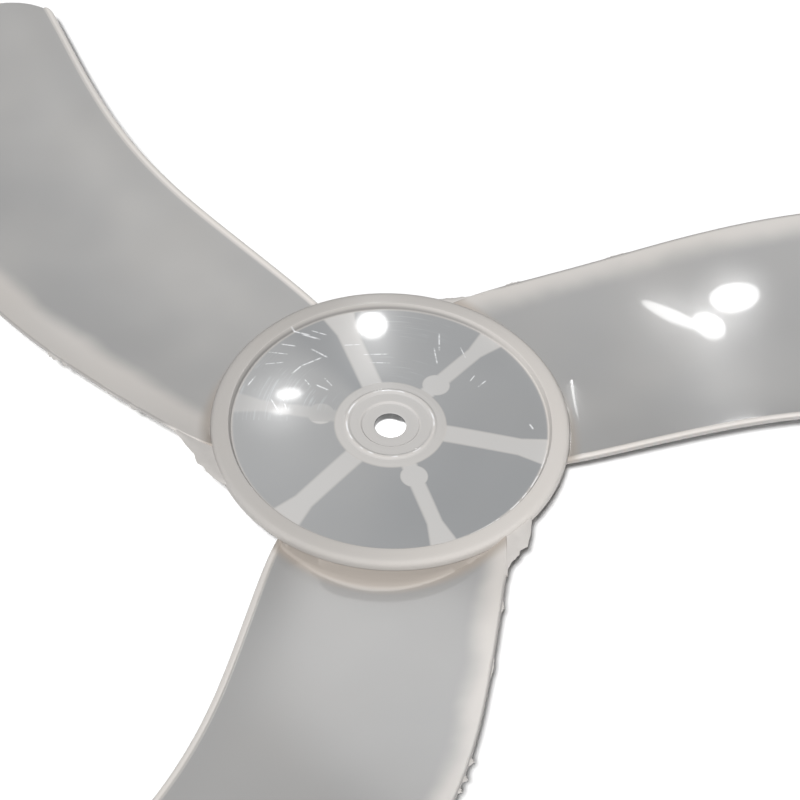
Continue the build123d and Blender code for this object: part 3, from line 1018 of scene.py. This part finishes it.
class ImpellerShape(bpy.types.PropertyGroup):
    """Fineness of the meshes and how often each part repeats."""
    blades: bpy.props.IntProperty(
        name="Blades", description="Number of blades round the hub", default=3, min=1)
    rib_pairs: bpy.props.IntProperty(
        name="Rib pairs", description="Narrow and wide ribs, in turns", default=3, min=1)
    narrow_rib: bpy.props.FloatProperty(
        name="Narrow rib", description="Width of a narrow rib", default=0.0032, unit="LENGTH")
    wide_rib: bpy.props.FloatProperty(
        name="Wide rib", description="Width of a wide rib", default=0.0048, unit="LENGTH")
    pin_slot_width: bpy.props.FloatProperty(
        name="Pin slot", description="Width of the cross pin's seat", default=0.0042, unit="LENGTH")
    pin_slot_depth: bpy.props.FloatProperty(
        name="Pin slot depth", description="Depth of the cross pin's seat", default=0.0045, unit="LENGTH")
    blade_rows: bpy.props.IntProperty(
        name="Blade rows", description="Mesh rows along a blade", default=150, min=20)
    flash_seed: bpy.props.IntProperty(
        name="Flash seed", description="Fixes how ragged the flash is", default=4, min=0)
    hub_segments: bpy.props.IntProperty(
        name="Hub segments", description="Mesh segments round the hub", default=360, min=36)


VIEW = 800  # points across and down the view


class GlossLamp(NamedTuple):
    """A lamp that only gloss shows, set where the view mirrors it; lengths in millimetres."""
    piece: str
    left: float  # place of its reflection, in points from the left of the view
    top: float  # and from its top
    distance: float
    width: float
    length: float
    turn: float  # degrees
    glow: float
    soft: float  # share of the radius in which the glow fades


GLOSS_LAMPS = (
    # right blade: bright patch, streak and its end, veil round them, line in the hollow by the hub
    GlossLamp("moulded_blades", left=735, top=297, distance=12, width=14.0, length=6.0, turn=14,
              glow=19.0, soft=0.15),
    GlossLamp("moulded_blades", left=671, top=315, distance=12, width=17.0, length=2.8, turn=0,
              glow=17.0, soft=0.2),
    GlossLamp("moulded_blades", left=709, top=325, distance=12, width=9.5, length=5.0, turn=-5,
              glow=17.0, soft=0.15),
    GlossLamp("moulded_blades", left=716, top=308, distance=12, width=32.0, length=13.0, turn=8,
              glow=1.0, soft=0.9),
    GlossLamp("moulded_blades", left=573, top=392, distance=3, width=0.8, length=14.0, turn=12,
              glow=12.0, soft=0.4),
    # sheen on the bottom blade and beside the left blade's lip
    GlossLamp("moulded_blades", left=409, top=678, distance=30, width=56.0, length=108.0, turn=0,
              glow=2.3, soft=0.55),
    GlossLamp("moulded_blades", left=98, top=359, distance=12, width=70.0, length=8.0, turn=-13,
              glow=0.4, soft=0.9),
    # dish: upper spot, left spot and the fainter one below it, sheen round them
    GlossLamp("moulded_hub", left=372, top=325, distance=30, width=10.5, length=9.5, turn=0,
              glow=26.0, soft=0.3),
    GlossLamp("moulded_hub", left=289, top=394, distance=30, width=9.2, length=4.2, turn=0,
              glow=24.0, soft=0.4),
    GlossLamp("moulded_hub", left=281, top=411, distance=30, width=8.0, length=3.6, turn=0,
              glow=14.0, soft=0.7),
    GlossLamp("moulded_hub", left=275, top=407, distance=30, width=26.0, length=24.0, turn=0,
              glow=3.2, soft=0.9),
    GlossLamp("moulded_hub", left=378, top=356, distance=30, width=16.0, length=26.0, turn=0,
              glow=1.6, soft=0.9),
)


class IMPELLER_OT_hub(bpy.types.Operator):
    """Turns the hub: boss, plate, rim and skirt, with the cross pin's seat"""
    bl_idname = "impeller.hub"
    bl_label = "Make the hub"

    def execute(self, context):
        shape = context.scene.impeller_shape
        maker = new_object("hub turning", hub_mesh(shape.hub_segments))
        bm = bmesh.new()
        bmesh.ops.create_cube(bm, size=1.0, matrix=Matrix.Diagonal(
            (2.4 * BOSS_R * MM, shape.pin_slot_width, 2 * shape.pin_slot_depth, 1.0)))
        cutter_mesh = bpy.data.meshes.new("pin slot")
        bm.to_mesh(cutter_mesh)
        bm.free()
        cutter = new_object("pin slot cutter", cutter_mesh)
        cut = maker.modifiers.new("Pin slot", "BOOLEAN")
        cut.operation, cut.solver, cut.object = "DIFFERENCE", "EXACT", cutter
        hub = plain_copy(maker, "moulded_hub")
        bpy.data.objects.remove(cutter)
        hub.data.materials.append(hub_finish(context.scene.impeller_finish))
        soften(hub, 50)
        hand_over(hub)
        return {"FINISHED"}


class IMPELLER_OT_ribs(bpy.types.Operator):
    """Sets the narrow and the wide ribs behind the plate"""
    bl_idname = "impeller.ribs"
    bl_label = "Make the ribs"

    def execute(self, context):
        shape = context.scene.impeller_shape
        finish = bpy.data.materials["hub plastic"]
        for name, width, pad, first in (
                ("narrow_ribs", shape.narrow_rib, True, RIB_ANGLE),
                ("wide_ribs", shape.wide_rib, False, RIB_ANGLE + 180 / shape.rib_pairs)):
            maker = new_object(name + " pattern", rib_mesh(width / MM, pad))
            ribs = repeated(maker, name, shape.rib_pairs, first, finish)
            soften(ribs, 50)
            hand_over(ribs)
        return {"FINISHED"}


class IMPELLER_OT_blades(bpy.types.Operator):
    """Lofts one cambered blade and sets copies of it round the hub"""
    bl_idname = "impeller.blades"
    bl_label = "Make the blades"

    def execute(self, context):
        shape = context.scene.impeller_shape
        maker = new_object("blade pattern", blade_mesh(shape.blade_rows))
        blades = repeated(maker, "moulded_blades", shape.blades, 0.0,
                          blade_finish(context.scene.impeller_finish))
        soften(blades, 60)
        hand_over(blades)
        return {"FINISHED"}


class IMPELLER_OT_flash(bpy.types.Operator):
    """Adds the webs of flash at the trailing roots and the burrs on the edges"""
    bl_idname = "impeller.flash"
    bl_label = "Add the flash"

    def execute(self, context):
        rng = np.random.default_rng(context.scene.impeller_shape.flash_seed)
        meshes = [web_mesh(k, rng) for k in range(len(WEBS))]
        meshes += [burr_mesh(*burr, rng) for burr in BURRS]
        flash = new_object("moulding_flash", joined(meshes, "moulding_flash"))
        flash.data.materials.append(flash_finish(context.scene.impeller_finish))
        soften(flash, 50)
        hand_over(flash)
        return {"FINISHED"}


class IMPELLER_OT_stage(bpy.types.Operator):
    """Sets the floor, the lamps, the surrounding light and the camera"""
    bl_idname = "impeller.stage"
    bl_label = "Make the stage"

    def execute(self, context):
        scene, stage = context.scene, context.scene.impeller_stage
        scene.view_settings.view_transform = "Standard"
        self.floor()
        forward, right, up = self.camera(scene, stage)
        self.sun(scene, stage, forward + right * 0.055 - up * 0.085)
        self.gloss_lamps(scene, stage, forward, right, up)
        self.world(scene, stage)
        return {"FINISHED"}

    def floor(self):
        bm = bmesh.new()
        bmesh.ops.create_grid(bm, x_segments=2, y_segments=2, size=3.0)
        mesh = bpy.data.meshes.new("floor")
        bm.to_mesh(mesh)
        bm.free()
        floor = new_object("floor", mesh)
        shader = Shader("white floor")
        matt = shader.node("BsdfDiffuse", Color=(0.97, 0.97, 0.97, 1))
        glow = shader.node("Emission", Color=(1, 1, 1, 1), Strength=1.0)
        both = shader.node("MixShader", _0=shader.seen_white() * 0.015,
                           _1=matt.outputs[0], _2=glow.outputs[0])
        floor.data.materials.append(shader.finish(both))

    def camera(self, scene, stage):
        """The axes of the view: forward, right and up."""
        level, roll = stage.elevation, stage.roll
        forward = Vector((0, cos(level), -sin(level)))
        right = Vector((1, 0, 0))
        up = right.cross(forward)
        right, up = right * cos(roll) + up * sin(roll), up * cos(roll) - right * sin(roll)
        data = bpy.data.cameras.new("camera")
        data.lens, data.sensor_width = stage.lens, SENSOR
        data.clip_start, data.clip_end = 0.05, 20.0
        camera = bpy.data.objects.new("camera", data)
        scene.collection.objects.link(camera)
        aside, above = -2.526 * MM, -6.371 * MM
        middle = Vector((0, 0, HUB_DEPTH * MM))
        camera.location = middle - right * aside - up * above - forward * stage.distance
        turn = Matrix((right, up, -forward)).transposed()
        camera.rotation_euler = turn.to_euler()
        scene.camera = camera
        return forward, right, up

    def sun(self, scene, stage, towards):
        data = bpy.data.lights.new("sun", "SUN")
        data.energy, data.angle = stage.sun_power, stage.sun_width
        sun = bpy.data.objects.new("sun", data)
        scene.collection.objects.link(sun)
        sun.rotation_euler = towards.to_track_quat("-Z", "Y").to_euler()
        sun.visible_glossy = False

    def gloss_lamps(self, scene, stage, forward, right, up):
        """Lamps that stand for the windows and lamps mirrored in the gloss."""
        focal = stage.lens / SENSOR * VIEW
        shown_on = {}
        for row in GLOSS_LAMPS:
            if row.piece not in shown_on:
                shown_on[row.piece] = bpy.data.collections.new("lit " + row.piece)
                shown_on[row.piece].objects.link(bpy.data.objects[row.piece])
        for number, row in enumerate(GLOSS_LAMPS):
            ray = forward * focal + right * (row.left - VIEW / 2) + up * (VIEW / 2 - row.top)
            ray.normalize()
            spot, normal = self.seen_spot(bpy.data.objects[row.piece], scene.camera.location, ray)
            towards = ray.reflect(normal)
            level = Vector((0, 0, 1)).cross(towards).normalized()
            axes = Matrix((level, towards.cross(level), towards)).transposed()
            data = bpy.data.lights.new(f"gloss lamp {number}", "AREA")
            data.shape, data.size, data.size_y = "ELLIPSE", row.width * MM, row.length * MM
            area = pi / 4 * data.size * data.size_y
            data.energy = row.glow * pi * area
            data.use_shadow = False
            self.soften_edge(data, row.soft)
            lamp = bpy.data.objects.new(f"gloss_lamp_{number}", data)
            scene.collection.objects.link(lamp)
            turned = axes @ Matrix.Rotation(radians(row.turn), 3, "Z")
            place = spot + towards * row.distance * MM
            lamp.matrix_world = Matrix.Translation(place) @ turned.to_4x4()
            lamp.visible_camera = lamp.visible_diffuse = False
            lamp.visible_transmission = lamp.visible_volume_scatter = False
            lamp.light_linking.receiver_collection = shown_on[row.piece]

    def seen_spot(self, piece, eye, ray):
        """Where a ray first meets a piece, and the smooth normal there."""
        tree = BVHTree.FromObject(piece, bpy.context.evaluated_depsgraph_get())
        spot, _, face, _ = tree.ray_cast(eye, ray)
        if spot is None:
            raise RuntimeError(f"a lamp's reflection misses {piece.name}")
        corners = [piece.data.vertices[v] for v in piece.data.polygons[face].vertices]
        shares = poly_3d_calc([v.co for v in corners], spot)
        normal = sum((v.normal * w for v, w in zip(corners, shares)), Vector())
        return spot, normal.normalized()

    def soften_edge(self, data, soft):
        """Lets a lamp's glow fade towards its border, in this share of its radius."""
        data.use_nodes = True
        nodes = Nodes(data.node_tree)
        place = nodes.node("NewGeometry").outputs["Parametric"]
        parts = nodes.node("SeparateXYZ", _0=place).outputs
        x, y = (Value(nodes.tree, part) * 2 - 1 for part in parts[:2])
        share = (x * x + y * y).maths("SQRT").step(1.0, 1.0 - soft)
        light = nodes.node("Emission", Strength=share)
        nodes.node("OutputLight", _0=light.outputs[0])

    def world(self, scene, stage):
        world = bpy.data.worlds.new("surroundings")
        world.use_nodes = True
        nodes = Nodes(world.node_tree)
        white = (1, 1, 1, 1)
        soft = nodes.node("Background", Color=white, Strength=stage.ambient)
        plain = nodes.node("Background", Color=white, Strength=1.0)
        both = nodes.node("MixShader", _0=nodes.seen_white(), _1=soft.outputs[0],
                          _2=plain.outputs[0])
        nodes.node("OutputWorld", Surface=both.outputs[0])
        scene.world = world


class IMPELLER_PT_sidebar(bpy.types.Panel):
    """Settings and steps of the impeller"""
    bl_idname = "IMPELLER_PT_sidebar"
    bl_label = "Impeller"
    bl_space_type = "VIEW_3D"
    bl_region_type = "UI"
    bl_category = "Impeller"

    def draw(self, context):
        for group in (context.scene.impeller_shape, context.scene.impeller_finish,
                      context.scene.impeller_stage):
            box = self.layout.box()
            for key in type(group).__annotations__:
                box.prop(group, key)
        for step in STEPS:
            self.layout.operator(step.bl_idname)


STEPS = (IMPELLER_OT_hub, IMPELLER_OT_ribs, IMPELLER_OT_blades, IMPELLER_OT_flash,
         IMPELLER_OT_stage)
GROUPS = {"impeller_shape": ImpellerShape, "impeller_finish": ImpellerFinish,
          "impeller_stage": StageSettings}


def register():
    for kind in (*GROUPS.values(), *STEPS, IMPELLER_PT_sidebar):
        bpy.utils.register_class(kind)
    for key, kind in GROUPS.items():
        setattr(bpy.types.Scene, key, bpy.props.PointerProperty(type=kind))


def unregister():
    for key in GROUPS:
        delattr(bpy.types.Scene, key)
    for kind in reversed((*GROUPS.values(), *STEPS, IMPELLER_PT_sidebar)):
        bpy.utils.unregister_class(kind)


def main():
    register()
    bpy.ops.impeller.hub()
    bpy.ops.impeller.ribs()
    bpy.ops.impeller.blades()
    bpy.ops.impeller.flash()
    bpy.ops.impeller.stage()


if __name__ == "__main__":
    main()
